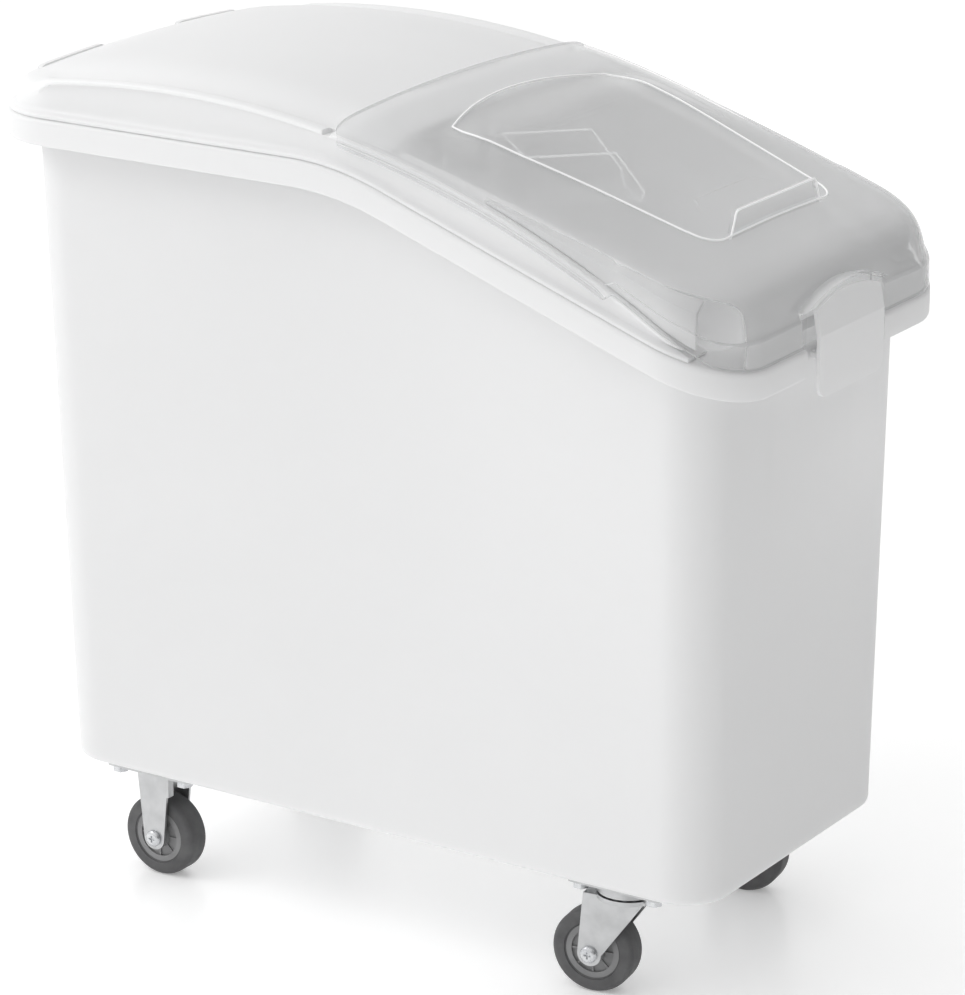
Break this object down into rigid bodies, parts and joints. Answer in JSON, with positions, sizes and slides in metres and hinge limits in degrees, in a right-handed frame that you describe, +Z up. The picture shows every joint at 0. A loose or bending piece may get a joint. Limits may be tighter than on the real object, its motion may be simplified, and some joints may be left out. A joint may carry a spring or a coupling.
{
  "type": "rolling_flour_bin",
  "caption": "Rolling flour bin: tapered white tub with a sloped rim, crowned rear lid, clear sliding front lid with push grip, tilting front latch, clear scoop, swivel and rigid casters.",
  "frame": {"origin": "on the floor under the middle of the overall box", "axes": "+X to the slanted clear-lid end, +Y to the far long side, +Z up"},
  "size_m": [0.755, 0.404, 0.7595],
  "materials": {
    "white_plastic": "moulded white plastic, satin",
    "lid_plastic": "moulded white plastic, slightly glossy",
    "clear_plastic": "clear moulded plastic",
    "zinc": "zinc-plated sheet steel",
    "steel": "plated steel fasteners",
    "tyre_rubber": "dark grey rubber tread",
    "hub_plastic": "mid-grey moulded plastic"
  },
  "bodies": {
    "bin": {"tub": "white_plastic", "latch_pin": "steel", "caster_bolts": "steel", "caster_nuts": "steel", "rear_fork_near": "zinc", "rear_fork_far": "zinc", "front_plate_near": "zinc", "front_plate_far": "zinc", "kingpin_near": "steel", "kingpin_far": "steel", "swivel_balls_near": "steel", "swivel_balls_far": "steel", "rear_axle_bolt_near": "steel", "rear_axle_bolt_far": "steel", "rear_axle_nut_near": "steel", "rear_axle_nut_far": "steel", "rear_sleeve_near": "steel", "rear_sleeve_far": "steel"},
    "lid": {"rear_lid": "lid_plastic"},
    "slider": {"clear_lid": "clear_plastic", "runner_near": "lid_plastic", "runner_far": "lid_plastic"},
    "latch": {"front_latch": "lid_plastic"},
    "scoop_body": {"scoop": "clear_plastic"},
    "swivel_near": {"front_fork_near": "zinc", "front_axle_bolt_near": "steel", "front_axle_nut_near": "steel", "front_sleeve_near": "steel"},
    "swivel_far": {"front_fork_far": "zinc", "front_axle_bolt_far": "steel", "front_axle_nut_far": "steel", "front_sleeve_far": "steel"},
    "wheel_rear_near": {"rear_hub_near": "hub_plastic", "rear_tyre_near": "tyre_rubber"},
    "wheel_rear_far": {"rear_hub_far": "hub_plastic", "rear_tyre_far": "tyre_rubber"},
    "wheel_front_near": {"front_hub_near": "hub_plastic", "front_tyre_near": "tyre_rubber"},
    "wheel_front_far": {"front_hub_far": "hub_plastic", "front_tyre_far": "tyre_rubber"}
  },
  "joints": [
    {"name": "lid_lift", "type": "slide", "parent": "bin", "child": "lid", "axis": [0, 0, 1], "range_m": [0, 0.15]},
    {"name": "lid_slide", "type": "hinge", "parent": "lid", "child": "slider", "pos_m": [-0.1795, 0, -0.191], "axis": [0, -1, 0], "range_deg": [0, 18]},
    {"name": "latch_tilt", "type": "hinge", "parent": "bin", "child": "latch", "pos_m": [0.3585, 0, 0.56541], "axis": [0, 1, 0], "range_deg": [0, 15], "stiffness_Nm_per_rad": 0.4},
    {"name": "scoop_draw", "type": "slide", "parent": "lid", "child": "scoop_body", "axis": [0.7071, 0.7071, 0], "range_m": [0, 0.06]},
    {"name": "swivel_near_turn", "type": "hinge", "parent": "bin", "child": "swivel_near", "pos_m": [0.2465, -0.129, 0.097], "axis": [0, 0, 1], "continuous": true},
    {"name": "swivel_far_turn", "type": "hinge", "parent": "bin", "child": "swivel_far", "pos_m": [0.2465, 0.129, 0.097], "axis": [0, 0, 1], "continuous": true},
    {"name": "wheel_rear_near_spin", "type": "hinge", "parent": "bin", "child": "wheel_rear_near", "pos_m": [-0.2435, -0.129, 0.0375], "axis": [0, 1, 0], "continuous": true},
    {"name": "wheel_rear_far_spin", "type": "hinge", "parent": "bin", "child": "wheel_rear_far", "pos_m": [-0.2435, 0.129, 0.0375], "axis": [0, 1, 0], "continuous": true},
    {"name": "wheel_front_near_spin", "type": "hinge", "parent": "swivel_near", "child": "wheel_front_near", "pos_m": [0.21877, -0.1329, 0.0375], "axis": [-0.1392, 0.9903, 0], "continuous": true},
    {"name": "wheel_front_far_spin", "type": "hinge", "parent": "swivel_far", "child": "wheel_front_far", "pos_m": [0.21877, 0.1251, 0.0375], "axis": [-0.1392, 0.9903, 0], "continuous": true}
  ]
}
